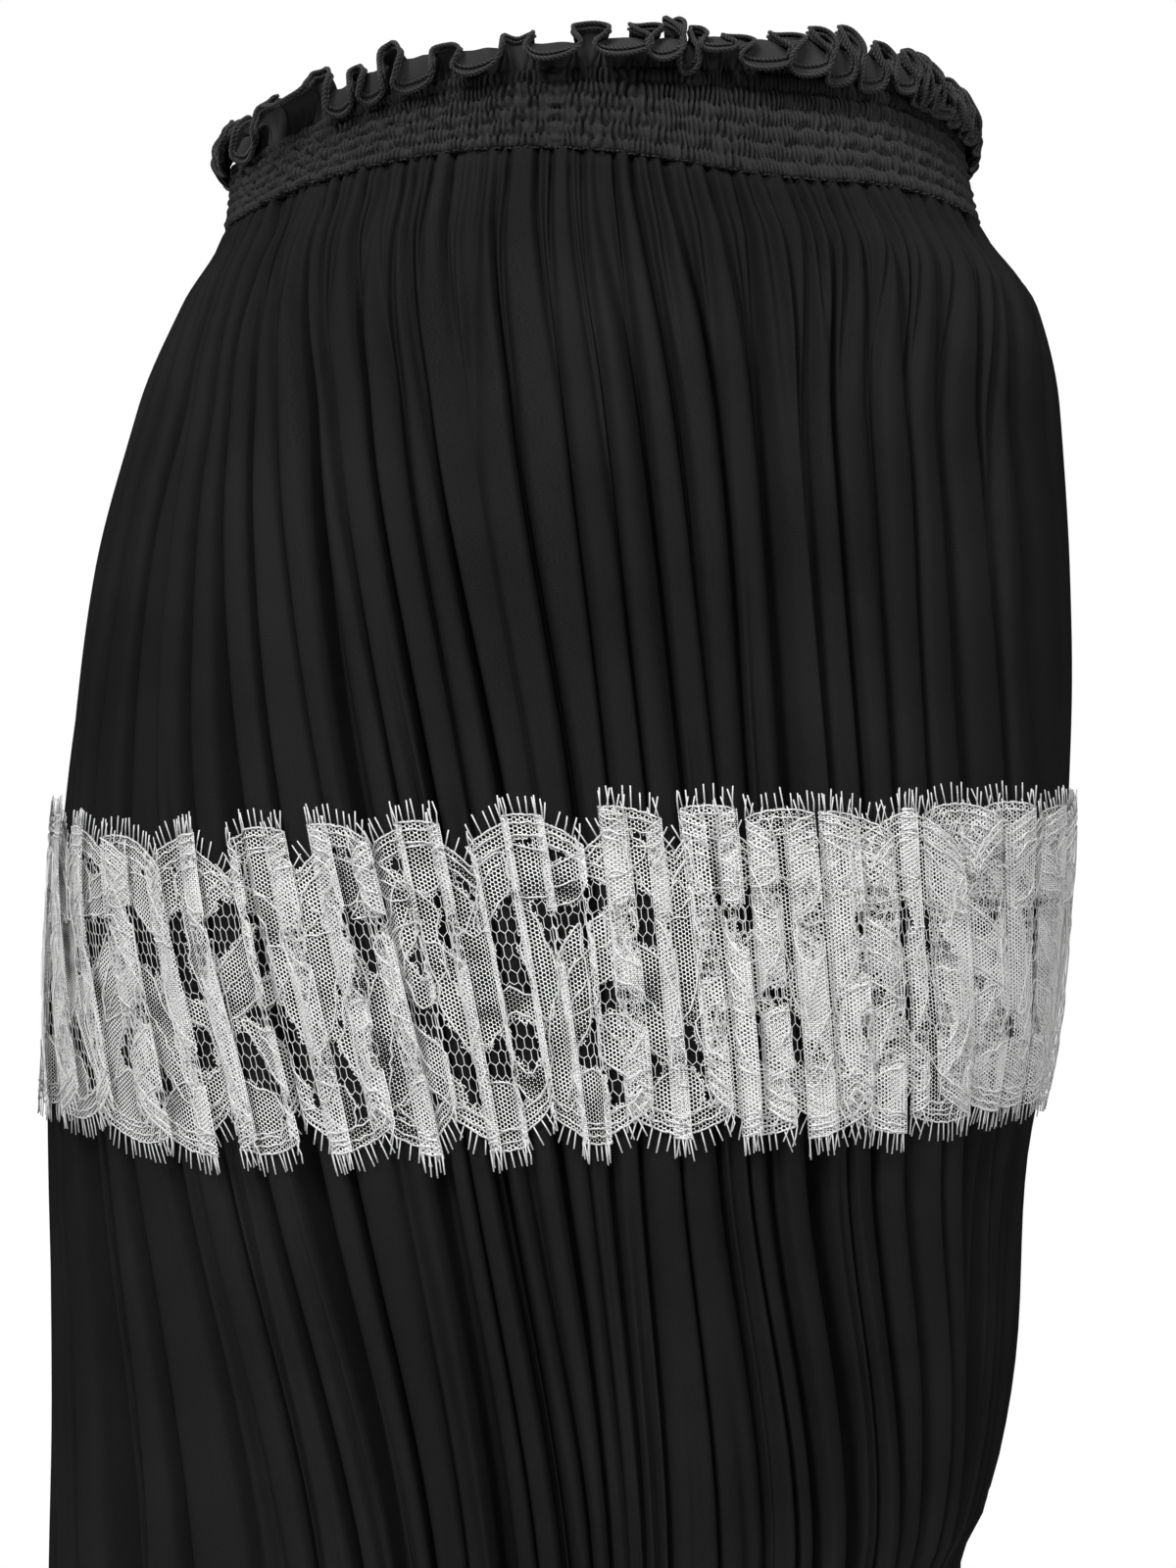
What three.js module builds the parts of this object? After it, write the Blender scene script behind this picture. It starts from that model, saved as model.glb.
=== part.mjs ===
// A midi skirt, filled out as it is when worn: a shirred elastic waistband with a ruffled heading,
// two gathered panels of black cloth that fall in folds from it, and a band of white scalloped lace
// with an eyelash edge laid on the folds at thigh height.
// Millimetres, +Z up. The origin is on the axis of the body at the middle of the elastic band, where the
// wearer's waist holds the skirt. The back, which has the band's seam, faces -Y, and +X is the wearer's
// right.
import * as THREE from "three";

// Shirred band
const BAND_HEIGHT = 32;
const BAND_TOP = BAND_HEIGHT / 2;
const BAND_FOOT = -BAND_HEIGHT / 2;
const BAND_WALL = 2.2;
const BAND_COLUMNS = 56;
const SHIRR_ROWS = 5;
const SHIRR_PUFF = 1.2;

// Cloth below it
const SEAM_GAP = 0.4;
const SEAM_TRIM = 0.3;
const CLOTH_WALL = 2.6;
const HEM_Z = -715;

// Ruffled heading. It leans out more at its free edge, and droops where a wave comes out.
const RUFFLE_HEIGHT = 11;
const RUFFLE_WALL = 2;
const RUFFLE_WAVES = 38;
const RUFFLE_WAVE_COLUMNS = 4;
const RUFFLE_LEVELS = [1, 0.5, 0];
const RUFFLE_LEAN = 2.5;
const RUFFLE_WAVE_DEPTH = 6.5;
const RUFFLE_UNEVEN = 0.25;
const RUFFLE_CURL = 1.3;
const RUFFLE_DROOP = 0.3;

// Lace band and its eyelash edges
const LACE_WALL = 1.8;
const LACE_CLEARANCE = 0.7;
const LACE_TOP_Z = -232;
const LACE_FOOT_Z = -346;
const SCALLOPS = 29;
const SCALLOP_DEPTH = 9;
const LACE_SWAYS = 5;
const LACE_SWAY = 3;
const LASH_LENGTH = 8;
const LASH_WIDTH = 0.9;
const LASH_STRIP = 1.2;
const LASH_STAND = 0.5;
const LASH_SLANT = 0.25;

// Half widths and depths of the outermost folds, from the body's axis, at each height.
const SECTION_COLUMNS = ["z", "left", "right", "back", "front"];
const SECTIONS = [
  [40, 132, 140, 95, 90],
  [16, 134, 142, 97, 92],
  [-16, 137, 148, 101, 95],
  [-50, 153, 170, 116, 104],
  [-90, 170, 178, 129, 112],
  [-150, 184, 181, 138, 118],
  [-225, 191, 180, 140, 120],
  [-300, 200, 175, 136, 121],
  [-370, 201, 163, 132, 122],
  [-430, 200, 159, 130, 123],
  [-480, 200, 151, 128, 124],
  [-508, 200, 139, 127, 125],
  [HEM_Z, 202, 142, 128, 128],
];

// Valleys between folds, as angles round the body in degrees (0 is the back's middle, positive towards
// the wearer's right) at the five heights of FOLD_HEIGHTS, and how deep each valley is above and below.
const FOLD_HEIGHTS = [-22, -110, -232, -345, -520];
const FOLD_COLUMNS = ["gather", "hip", "laceTop", "laceFoot", "foot", "upperDepth", "lowerDepth"];
const BACK_FOLDS = [
  [-91, -85, -89, -82, -75, 5, 7],
  [-84, -77, -80, -71, -63, 5, 7],
  [-77, -69, -71, -61, -52, 6, 8],
  [-71, -62, -62, -52, -42, 6, 12],
  [-65, -55, -53, -44, -32, 6, 9],
  [-60, -51, -47, -37, -25, 4, 5],
  [-56, -47, -42, -32.5, -20.3, 8, 9],
  [-52.3, -43.4, -36, -27, -16.5, 6, 8],
  [-48.8, -39.8, -31, -22.6, -13.3, 9, 12],
  [-45.5, -36, -26, -18, -10.2, 4, 4],
  [-42, -31.7, -21.6, -13.8, -7, 8, 12],
  [-37, -27.7, -18, -11, -3.8, 4, 5],
  [-32, -23.8, -14.6, -8, -0.8, 8, 10],
  [-28, -20.5, -11.4, -5.2, 1.4, 4, 4],
  [-23.5, -16.8, -8, -2.4, 3.6, 8, 10],
  [-18, -12.6, -4.8, 0, 5.6, 4, 4],
  [-12.5, -8.2, -1.4, 2.4, 7.6, 7, 11],
  [-6, -2.6, 2, 5.6, 10.4, 6, 7],
  [-1.5, 1.6, 6, 10.2, 17, 4, 5],
  [2.5, 5.6, 10, 15, 24, 7, 8],
  [6.5, 9.6, 13.4, 18, 28, 7, 5],
  [11, 13.8, 16.8, 21, 31.8, 8, 8],
  [17.4, 18.4, 21.2, 26.6, 37, 8, 9],
  [23, 22.4, 25.6, 30.7, 41.4, 5, 5],
  [30, 26.8, 30.2, 35, 46, 7, 8],
  [36, 31.8, 34.2, 39.9, 50.4, 5, 5],
  [42, 36.8, 38.8, 45.4, 54, 7, 8],
  [49, 42, 45.4, 51.2, 57.4, 6, 6],
  [57, 49, 53, 58, 61, 6, 6],
  [67, 57.6, 63, 66, 65.5, 5, 7],
  [76, 67, 74, 75.5, 71.5, 5, 7],
  [85, 77.5, 84, 85.5, 80, 5, 8],
];
const BACK_SEAM_FOLD = 17;

// The front's folds, evenly spaced but for two uneven sways.
const FRONT_FOLDS = 26;
const FRONT_SEAM_FOLD = BACK_FOLDS.length + FRONT_FOLDS / 2;
const FRONT_SWAY = 1.1;
const FRONT_SMALL_SWAY = 0.6;
const FRONT_UPPER_DEPTH = 6;
const FRONT_LOWER_DEPTH = 8;

// A fold's section: a valley, then two shoulders of a crest. STEEPEST is a valley's depth over the room
// beside it, and CREST_DIP is how far the shoulders lie below the outline, as a share of that depth.
const GATHER_DEPTH = 2.4;
const STEEPEST = 0.5;
const CREST_AT = [0.33, 0.67];
const CREST_DIP = 0.08;

// Heights of the rings of the two panels, and those where a valley has its gathered depth, its upper
// depth, the mean of the two depths, and its lower depth.
const PANEL_ROWS = [BAND_FOOT - SEAM_GAP, -50, -115, -215, -288, -364, -440, -508, HEM_Z];
const DEPTH_HEIGHTS = [BAND_FOOT, -95, -290, -440];

const DEGREE = Math.PI / 180;
const rows = (table, columns) =>
  table.map((row) => Object.fromEntries(columns.map((name, k) => [name, row[k]])));
const column = (table, name) => table.map((row) => row[name]);
const sections = rows(SECTIONS, SECTION_COLUMNS);
const backFolds = rows(BACK_FOLDS, FOLD_COLUMNS);

// Value at z of a smooth curve through values at falling heights, with no overshoot between them.
function through(heights, values, z) {
  const last = heights.length - 1;
  if (z >= heights[0]) return values[0];
  if (z <= heights[last]) return values[last];
  const slope = (k) => (values[k + 1] - values[k]) / (heights[k + 1] - heights[k]);
  const tangent = (k) => {
    if (k === 0 || k === last) return 0;
    const before = slope(k - 1);
    const after = slope(k);
    return before * after > 0 ? (2 * before * after) / (before + after) : 0;
  };
  const k = heights.findIndex((h, n) => n < last && z <= h && z >= heights[n + 1]);
  const span = heights[k + 1] - heights[k];
  const t = (z - heights[k]) / span;
  const bend = (3 - 2 * t) * t * t;
  return (
    values[k] * (1 - bend) +
    values[k + 1] * bend +
    span * t * (1 - t) * (tangent(k) * (1 - t) - tangent(k + 1) * t)
  );
}

// The point at an angle round the body at height z, moved outwards by out along the section's normal.
// The section is four quarter ellipses.
const sectionHeights = column(sections, "z");
const sectionCurves = SECTION_COLUMNS.slice(1).map((name) => column(sections, name));
function bodyPoint(angle, z, out) {
  const [left, right, back, front] = sectionCurves.map((curve) => through(sectionHeights, curve, z));
  const s = Math.sin(angle * DEGREE);
  const c = Math.cos(angle * DEGREE);
  const a = s < 0 ? left : right;
  const b = c > 0 ? back : front;
  const normal = new THREE.Vector2(s / a, -c / b).normalize();
  return new THREE.Vector3(a * s + normal.x * out, -b * c + normal.y * out, z);
}

// Every valley in order round the body: those of the table, then the front's, which are spaced evenly
// between the table's last and first with a small uneven sway.
function foldTable() {
  const first = backFolds[0];
  const last = backFolds[backFolds.length - 1];
  const made = [...backFolds];
  for (let i = 1; i <= FRONT_FOLDS; i++) {
    const share = i / (FRONT_FOLDS + 1);
    const sway = FRONT_SWAY * Math.sin(2.4 * i) + FRONT_SMALL_SWAY * Math.sin(5.3 * i);
    const place = (name) => last[name] + (first[name] + 360 - last[name]) * share + sway;
    made.push({
      gather: place("gather"),
      hip: place("hip"),
      laceTop: place("laceTop"),
      laceFoot: place("laceFoot"),
      foot: place("foot"),
      upperDepth: FRONT_UPPER_DEPTH * (1 + 0.25 * Math.sin(3.7 * i)),
      lowerDepth: FRONT_LOWER_DEPTH * (1 + 0.4 * Math.sin(2.9 * i)),
    });
  }
  return made;
}
const folds = foldTable();

// Angle of a valley at height z. Valleys past the last one start round the body again.
function valleyAngle(index, z) {
  const turns = Math.floor(index / folds.length);
  const fold = folds[index - turns * folds.length];
  const angles = FOLD_COLUMNS.slice(0, FOLD_HEIGHTS.length).map((name) => fold[name]);
  return through(FOLD_HEIGHTS, angles, z) + 360 * turns;
}

// Depth of a valley at height z. It starts shallow at the band, and it is never steeper than the room
// beside it allows, so that the wall can't cross itself.
function valleyDepth(index, z) {
  const fold = folds[index % folds.length];
  const depths = [GATHER_DEPTH, fold.upperDepth, (fold.upperDepth + fold.lowerDepth) / 2, fold.lowerDepth];
  const asked = through(DEPTH_HEIGHTS, depths, z);
  const here = bodyPoint(valleyAngle(index, z), z, 0);
  const room = [-1, 1].map((side) =>
    here.distanceTo(bodyPoint(valleyAngle(index + folds.length + side, z), z, 0)),
  );
  return Math.min(asked, STEEPEST * Math.min(...room));
}

// Columns of the cloth: for each fold its valley and the two shoulders of the crest after it.
const COLUMNS_PER_FOLD = 1 + CREST_AT.length;
const COLUMN_COUNT = folds.length * COLUMNS_PER_FOLD;
const BACK_SEAM = BACK_SEAM_FOLD * COLUMNS_PER_FOLD;
const FRONT_SEAM = FRONT_SEAM_FOLD * COLUMNS_PER_FOLD;
function columnPlace(index, z) {
  const fold = Math.floor(index / COLUMNS_PER_FOLD);
  const within = index - fold * COLUMNS_PER_FOLD;
  const from = valleyAngle(fold, z);
  if (within === 0) return { angle: from, out: -valleyDepth(fold, z) };
  const to = valleyAngle(fold + 1, z);
  const dip = (CREST_DIP * (valleyDepth(fold, z) + valleyDepth(fold + 1, z))) / 2;
  return { angle: from + (to - from) * CREST_AT[within - 1], out: -dip };
}
function columnPoint(index, z, out) {
  const place = columnPlace(index, z);
  return bodyPoint(place.angle, z, place.out + out);
}

// Point on the panels' facets at any place t, counted in columns, and any height, moved out.
function clothPoint(t, z, out) {
  const k = Math.floor(t);
  const next = PANEL_ROWS.findIndex((row) => row < z);
  const [above, below] = [PANEL_ROWS[next - 1], PANEL_ROWS[next]];
  const down = (above - z) / (above - below);
  const [left, right] = [k, k + 1].map((index) =>
    columnPoint(index, above, out).lerp(columnPoint(index, below, out), down),
  );
  return left.lerp(right, t - k);
}

// A closed wall from two grids of points with the same columns. The outer grid runs from the top row
// down, anticlockwise as seen from above, and the inner grid may have fewer rows. Open walls get end caps.
function wall(outer, inner, isTube) {
  const positions = [];
  const faces = [];
  const put = (grid) =>
    grid.map((row) =>
      row.map((p) => {
        positions.push(p.x, p.y, p.z);
        return positions.length / 3 - 1;
      }),
    );
  const [out, back] = [put(outer), put(inner)];
  const width = outer[0].length;
  const quad = (a, b, c, d) => faces.push(a, b, c, a, c, d);
  for (let k = 0; k < (isTube ? width : width - 1); k++) {
    const n = (k + 1) % width;
    for (let r = 0; r + 1 < out.length; r++) quad(out[r][k], out[r + 1][k], out[r + 1][n], out[r][n]);
    for (let r = 0; r + 1 < back.length; r++) quad(back[r][k], back[r][n], back[r + 1][n], back[r + 1][k]);
    const [lastOut, lastBack] = [out[out.length - 1], back[back.length - 1]];
    quad(out[0][k], out[0][n], back[0][n], back[0][k]);
    quad(lastOut[k], lastBack[k], lastBack[n], lastOut[n]);
  }
  if (!isTube) {
    const cap = (k, turned) => {
      const loop = [...out.map((row) => row[k]), ...back.map((row) => row[k]).reverse()];
      for (let i = 0; i + 1 < out.length; i++) {
        const [a, b] = [loop[i], loop[i + 1]];
        const [c, d] = [loop[loop.length - 2 - i], loop[loop.length - 1 - i]];
        if (turned) quad(a, d, c, b);
        else quad(a, b, c, d);
      }
    };
    cap(0, true);
    cap(width - 1, false);
  }
  const geometry = new THREE.BufferGeometry();
  geometry.setAttribute("position", new THREE.Float32BufferAttribute(positions, 3));
  geometry.setIndex(faces);
  geometry.computeVertexNormals();
  return geometry;
}

// One gathered panel, from one seam to the other. Its two end columns stop short of the seam.
function panelGeometry(fromColumn, toColumn) {
  const indices = Array.from({ length: toColumn - fromColumn + 1 }, (_, n) => fromColumn + n);
  const trimmed = (index, z, out) => {
    const point = columnPoint(index, z, out);
    const step = (index === fromColumn) - (index === toColumn);
    if (step === 0) return point;
    const next = columnPoint(index + step, z, out);
    return point.lerp(next, SEAM_TRIM / point.distanceTo(next));
  };
  const layer = (out) => PANEL_ROWS.map((z) => indices.map((index) => trimmed(index, z, out)));
  return wall(layer(0), layer(-CLOTH_WALL), false);
}

// The shirred band: its outside puffs out between the rows of elastic, its inside is plain.
function bandGeometry() {
  const angles = Array.from({ length: BAND_COLUMNS }, (_, k) => (360 * k) / BAND_COLUMNS);
  const ring = (z, out) => angles.map((angle) => bodyPoint(angle, z, out));
  const outer = Array.from({ length: 2 * SHIRR_ROWS + 1 }, (_, r) => {
    const z = BAND_TOP - (BAND_HEIGHT * r) / (2 * SHIRR_ROWS);
    return ring(z, r % 2 === 0 ? -SHIRR_PUFF : 0);
  });
  const inner = [BAND_TOP, BAND_FOOT].map((z) => ring(z, -SHIRR_PUFF - BAND_WALL));
  return wall(outer, inner, true);
}

// The heading: cloth that stands above the band in waves.
function ruffleGeometry() {
  const count = RUFFLE_WAVES * RUFFLE_WAVE_COLUMNS;
  const layer = (inwards) =>
    RUFFLE_LEVELS.map((rise) =>
      Array.from({ length: count }, (_, k) => {
        const wave = Math.SQRT2 * Math.cos((2 * Math.PI * (k + 0.5)) / RUFFLE_WAVE_COLUMNS);
        const uneven = 1 + RUFFLE_UNEVEN * Math.sin(1.7 * Math.floor(k / RUFFLE_WAVE_COLUMNS));
        const lean = (RUFFLE_LEAN + RUFFLE_WAVE_DEPTH * wave * uneven) * rise ** RUFFLE_CURL;
        const height = RUFFLE_HEIGHT * rise * (1 - RUFFLE_DROOP * Math.max(0, wave));
        return bodyPoint((360 * k) / count, BAND_TOP + SEAM_GAP + height, lean - SHIRR_PUFF - inwards);
      }),
    );
  return wall(layer(0), layer(RUFFLE_WALL), true);
}

// Heights of the lace's two scalloped edges at a place t, counted in columns.
function laceEdges(t) {
  const turn = (Math.PI * SCALLOPS * t) / COLUMN_COUNT;
  const sway = LACE_SWAY * Math.sin((2 * Math.PI * LACE_SWAYS * t) / COLUMN_COUNT);
  const scallop = SCALLOP_DEPTH * (Math.abs(Math.sin(turn)) - 0.5);
  return { top: LACE_TOP_Z + scallop + sway, foot: LACE_FOOT_Z - scallop + sway };
}

// The lace band: it lies on the folds, so it is made from their points, moved out.
function laceGeometry() {
  const indices = Array.from({ length: COLUMN_COUNT }, (_, k) => k);
  const middle = PANEL_ROWS.find((z) => z < LACE_TOP_Z && z > LACE_FOOT_Z);
  const layer = (out) => [
    indices.map((k) => clothPoint(k, laceEdges(k).top, out)),
    indices.map((k) => clothPoint(k, middle, out)),
    indices.map((k) => clothPoint(k, laceEdges(k).foot, out)),
  ];
  return wall(layer(LACE_CLEARANCE + LACE_WALL), layer(LACE_CLEARANCE), true);
}

// The eyelash fringe along one edge of the lace: a narrow three-sided strip just past the edge, with two
// lashes on the crest of each fold. A lash is a four-sided spike whose root is a narrow facet of the strip.
function lashGeometry(edge) {
  const side = edge === "top" ? 1 : -1;
  const [near, far] = [SEAM_GAP, SEAM_GAP + LASH_STRIP];
  const [inside, outside] = [LACE_CLEARANCE, LACE_CLEARANCE + LASH_STRIP];
  const middle = (inside + outside) / 2;
  const at = (t, away, out) => clothPoint(t, laceEdges(t)[edge] + side * away, out);
  const places = [];
  for (let k = 0; k < COLUMN_COUNT; k++) {
    if (k % COLUMNS_PER_FOLD === 0) {
      places.push({ t: k, isRoot: false });
      continue;
    }
    const columnWidth = at(k - 0.5, near, middle).distanceTo(at(k + 0.5, near, middle));
    const half = LASH_WIDTH / 2 / columnWidth;
    places.push({ t: k - half, isRoot: true }, { t: k + half, isRoot: false });
  }
  const corners = places.map(({ t }) => [at(t, near, middle), at(t, far, outside), at(t, far, inside)]);
  const positions = corners.flat().flatMap((p) => [p.x, p.y, p.z]);
  const faces = [];
  const face = (...points) => {
    const turned = side > 0 ? [points[0], points[2], points[1]] : points;
    faces.push(...turned);
  };
  places.forEach((place, k) => {
    const [a, b] = [3 * k, 3 * ((k + 1) % places.length)];
    for (let i = 0; i < 3; i++) {
      const j = (i + 1) % 3;
      if (i === 1 && place.isRoot) continue;
      face(a + i, a + j, b + j);
      face(a + i, b + j, b + i);
    }
    if (!place.isRoot) return;
    const tip = at(place.t + LASH_SLANT * Math.sin(4.1 * k), far + LASH_LENGTH, middle + LASH_STAND);
    const apex = positions.length / 3;
    positions.push(tip.x, tip.y, tip.z);
    face(a + 1, a + 2, apex);
    face(a + 2, b + 2, apex);
    face(b + 2, b + 1, apex);
    face(b + 1, a + 1, apex);
  });
  const geometry = new THREE.BufferGeometry();
  geometry.setAttribute("position", new THREE.Float32BufferAttribute(positions, 3));
  geometry.setIndex(faces);
  geometry.computeVertexNormals();
  return geometry;
}

const blackCloth = new THREE.MeshStandardMaterial({ color: 0x1c1c1c, roughness: 0.85, metalness: 0 });
const blackShirring = new THREE.MeshStandardMaterial({ color: 0x1e1e1e, roughness: 0.9, metalness: 0 });
const whiteLace = new THREE.MeshStandardMaterial({ color: 0xe4e4e2, roughness: 0.8, metalness: 0 });

const skirt = new THREE.Group();
function add(name, geometry, material) {
  const mesh = new THREE.Mesh(geometry, material);
  mesh.name = name;
  skirt.add(mesh);
}
add("waist_ruffle", ruffleGeometry(), blackShirring);
add("waistband", bandGeometry(), blackShirring);
add("panel_right", panelGeometry(BACK_SEAM, FRONT_SEAM), blackCloth);
add("panel_left", panelGeometry(FRONT_SEAM, BACK_SEAM + COLUMN_COUNT), blackCloth);
add("lace_band", laceGeometry(), whiteLace);
add("lace_eyelash_top", lashGeometry("top"), whiteLace);
add("lace_eyelash_foot", lashGeometry("foot"), whiteLace);

export default skirt;
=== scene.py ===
"""A midi skirt as it is worn: a shirred elastic waistband with a curling ruffled heading, two panels of
black cloth gathered into folds, and a white scalloped lace band with eyelash edges laid over the folds.

The tables and the shapes are in millimetres and degrees, as in the part's source. Meshes are in metres."""
import math

import bpy
import numpy as np
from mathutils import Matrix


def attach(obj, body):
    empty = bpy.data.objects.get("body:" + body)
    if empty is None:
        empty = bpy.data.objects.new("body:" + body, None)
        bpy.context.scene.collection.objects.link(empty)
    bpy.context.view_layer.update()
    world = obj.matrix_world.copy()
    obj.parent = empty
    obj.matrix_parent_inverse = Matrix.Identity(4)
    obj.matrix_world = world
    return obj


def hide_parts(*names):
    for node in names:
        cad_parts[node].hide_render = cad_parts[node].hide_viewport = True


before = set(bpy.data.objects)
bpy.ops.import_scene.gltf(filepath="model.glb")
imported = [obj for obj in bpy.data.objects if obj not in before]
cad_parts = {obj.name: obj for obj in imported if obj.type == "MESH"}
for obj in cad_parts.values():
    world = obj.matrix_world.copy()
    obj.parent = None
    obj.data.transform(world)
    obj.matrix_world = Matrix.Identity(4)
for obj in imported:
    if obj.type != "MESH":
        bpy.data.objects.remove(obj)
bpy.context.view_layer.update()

MM = 0.001
TURN = 2 * math.pi

# Each height, and how far the outermost folds lie there from the axis at the left, right, back and front
SECTIONS = np.array([
    (40, 132, 140, 95, 90),
    (16, 134, 142, 97, 92),
    (-16, 137, 148, 101, 95),
    (-50, 153, 170, 116, 104),
    (-90, 170, 178, 129, 112),
    (-150, 186, 181, 138, 118),
    (-225, 196, 180, 140, 120),
    (-300, 201, 175, 136, 121),
    (-370, 201, 163, 132, 122),
    (-430, 200, 159, 130, 123),
    (-480, 200, 151, 128, 124),
    (-508, 200, 139, 127, 125),
    (-715, 202, 142, 128, 128),
], float)

# Valleys between folds, as angles round the skirt at the five heights of FOLD_HEIGHTS, and how deep each
# valley is above and below. 0 degrees is the back's middle, positive towards the right side.
FOLD_HEIGHTS = (-22, -110, -232, -345, -520)
BACK_FOLDS = np.array([
    (-91, -85, -89, -82, -75, 5, 7),
    (-84, -77, -80, -71, -63, 5, 7),
    (-77, -69, -71, -61, -52, 9, 13),
    (-71, -62, -62, -52, -42, 6, 8.5),
    (-65, -55, -53, -44, -32, 6, 9),
    (-60, -51, -47, -37, -25, 4, 5),
    (-56, -47, -42, -32.5, -20.3, 8, 9),
    (-52.3, -43.4, -36, -27, -16.5, 9, 13),
    (-48.8, -39.8, -31, -22.6, -13.3, 7, 7),
    (-45.5, -36, -26, -18, -10.2, 4, 4),
    (-42, -31.7, -22.6, -13.8, -7, 9, 13),
    (-37, -27.7, -18, -11, -3.8, 4, 5),
    (-32, -23.8, -14.6, -8, -0.8, 8, 10),
    (-28, -20.5, -11.4, -5.2, 1.4, 4, 4),
    (-23.5, -16.8, -8, -2.4, 3.6, 8, 10),
    (-18, -12.6, -4.8, 0, 5.6, 4, 4),
    (-12.5, -8.2, -1.4, 2.4, 7.6, 7, 11),
    (-6, -2.6, 2, 5.6, 10.4, 6, 7),
    (-1.5, 1.6, 6, 10.2, 17, 4, 5),
    (2.5, 5.6, 10, 15, 24, 7, 8),
    (6.5, 9.6, 13.4, 18, 28, 7, 5),
    (11, 13.8, 16.8, 21, 31.8, 8, 8),
    (17.4, 18.4, 21.2, 26.6, 37, 8, 9),
    (23, 22.4, 25.6, 30.7, 41.4, 5, 5),
    (30, 26.8, 30.2, 35, 46, 7, 8),
    (36, 31.8, 34.2, 39.9, 50.4, 5, 5),
    (42, 36.8, 38.8, 45.4, 54, 7, 8),
    (49, 42, 45.4, 51.2, 57.4, 6, 6),
    (57, 49, 53, 58, 61, 6, 6),
    (67, 57.6, 63, 66, 65.5, 5, 7),
    (76, 67, 74, 75.5, 71.5, 5, 7),
    (85, 77.5, 84, 85.5, 80, 5, 8),
], float)
FRONT_FOLDS = 26
BACK_SEAM = 17
FRONT_SEAM = len(BACK_FOLDS) + FRONT_FOLDS // 2
DEPTH_HEIGHTS = (-16, -95, -290, -440)
GATHER_DEPTH = 4.6
DEEPER = 1.3
STEEPEST = 1.25
GATHERS = 2
GATHER_REACH = 360.0
LOW_CREASES = 2

# Heights of the pieces
SHIRRING_TOP = 10.8
SHIRRING_FOOT = -16.6
HEM_Z = -715.0
LACE_MIDDLE_Z = -289.0
LACE_HEIGHT = 104.0

# Panels
CLOTH_ROWS = 84
BACK_SAMPLES = 32
FRONT_SAMPLES = 20
SEAM_ALLOWANCE = 7.0
HEM_TURN = 15.0
WIDTH_HEIGHT = -300.0


# Numbers

def through(heights, values, z):
    """Smooth curve through values at falling heights, with no overshoot: its slope at a height is the
    harmonic mean of the slopes beside it, or none where they differ in sign and at both ends.
    values has one array for each height, shaped as z is or as one number."""
    heights = np.asarray(heights, float)
    values = np.asarray(values, float)
    z = np.clip(np.asarray(z, float), heights[-1], heights[0])
    values = np.broadcast_to(values.reshape(values.shape + (1,) * (1 + z.ndim - values.ndim)),
                             (len(heights),) + z.shape)
    spans = np.diff(heights)
    slopes = np.diff(values, axis=0) / spans.reshape((-1,) + (1,) * z.ndim)
    before, after = slopes[:-1], slopes[1:]
    alike = before * after > 0
    tangents = np.zeros(values.shape)
    tangents[1:-1] = np.where(alike, 2 * before * after / np.where(alike, before + after, 1), 0)
    place = np.clip(np.searchsorted(-heights, -z, side="right") - 1, 0, len(spans) - 1)
    span = spans[place]
    share = (z - heights[place]) / span
    at = place[None]
    low, high = np.take_along_axis(values, at, 0)[0], np.take_along_axis(values, at + 1, 0)[0]
    leave, meet = np.take_along_axis(tangents, at, 0)[0], np.take_along_axis(tangents, at + 1, 0)[0]
    bend = (3 - 2 * share) * share**2
    return low + (high - low) * bend + span * share * (1 - share) * (leave * (1 - share) - meet * share)


def uneven(number, seed):
    """A fixed value from -1 to 1 for each whole number, as chance as a sine's far decimals."""
    raw = np.sin(np.asarray(number, float) * 12.9898 + seed * 78.233) * 43758.5453
    return 2 * (raw - np.floor(raw)) - 1


def ease(value):
    """0 below 0, 1 above 1 and an S curve between."""
    value = np.clip(value, 0, 1)
    return value * value * (3 - 2 * value)


def bell(value, middle, width):
    """A bell-shaped bump: 1 at the middle and 0.37 a width away from it."""
    return np.exp(-(((value - middle) / width) ** 2))


def from_back(angle):
    """Degrees from the back's middle, from -180 to 180."""
    return (np.asarray(angle, float) + 180) % 360 - 180


# Section and folds

def quarter(angle, z):
    """An angle's sine and cosine, and its quarter ellipse's half width and half depth at height z."""
    left, right, back, front = (through(SECTIONS[:, 0], SECTIONS[:, n], z) for n in (1, 2, 3, 4))
    s, c = np.sin(np.radians(angle)), np.cos(np.radians(angle))
    return s, c, np.where(s < 0, left, right), np.where(c > 0, back, front)


def outline_point(angle, z, out):
    """The point at an angle and height on a section of four quarter ellipses, moved out along its
    normal."""
    s, c, a, b = quarter(angle, z)
    length = np.hypot(s / a, c / b)
    x = a * s + s / a / length * out
    y = -b * c - c / b / length * out
    return np.stack(np.broadcast_arrays(x, y, z + 0 * x), axis=-1)


def degree_length(angle, z):
    """Millimetres of the section's outline to a degree."""
    s, c, a, b = quarter(angle, z)
    return np.radians(np.hypot(a * c, b * s))


def fold_table():
    """Every valley in order round the skirt: the table's, then the front's, spaced evenly between the
    table's last and first but for two sways."""
    first, last = BACK_FOLDS[0], BACK_FOLDS[-1]
    i = np.arange(1, FRONT_FOLDS + 1)[:, None]
    share = i / (FRONT_FOLDS + 1)
    sway = 1.1 * np.sin(2.4 * i) + 0.6 * np.sin(5.3 * i)
    angles = last[:5] + (first[:5] + 360 - last[:5]) * share + sway
    depths = np.hstack([6 * (1 + 0.25 * np.sin(3.7 * i)), 8 * (1 + 0.4 * np.sin(2.9 * i))])
    return np.vstack([BACK_FOLDS, np.hstack([angles, depths])])


FOLDS = fold_table()
FOLD_COUNT = len(FOLDS)


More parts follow.
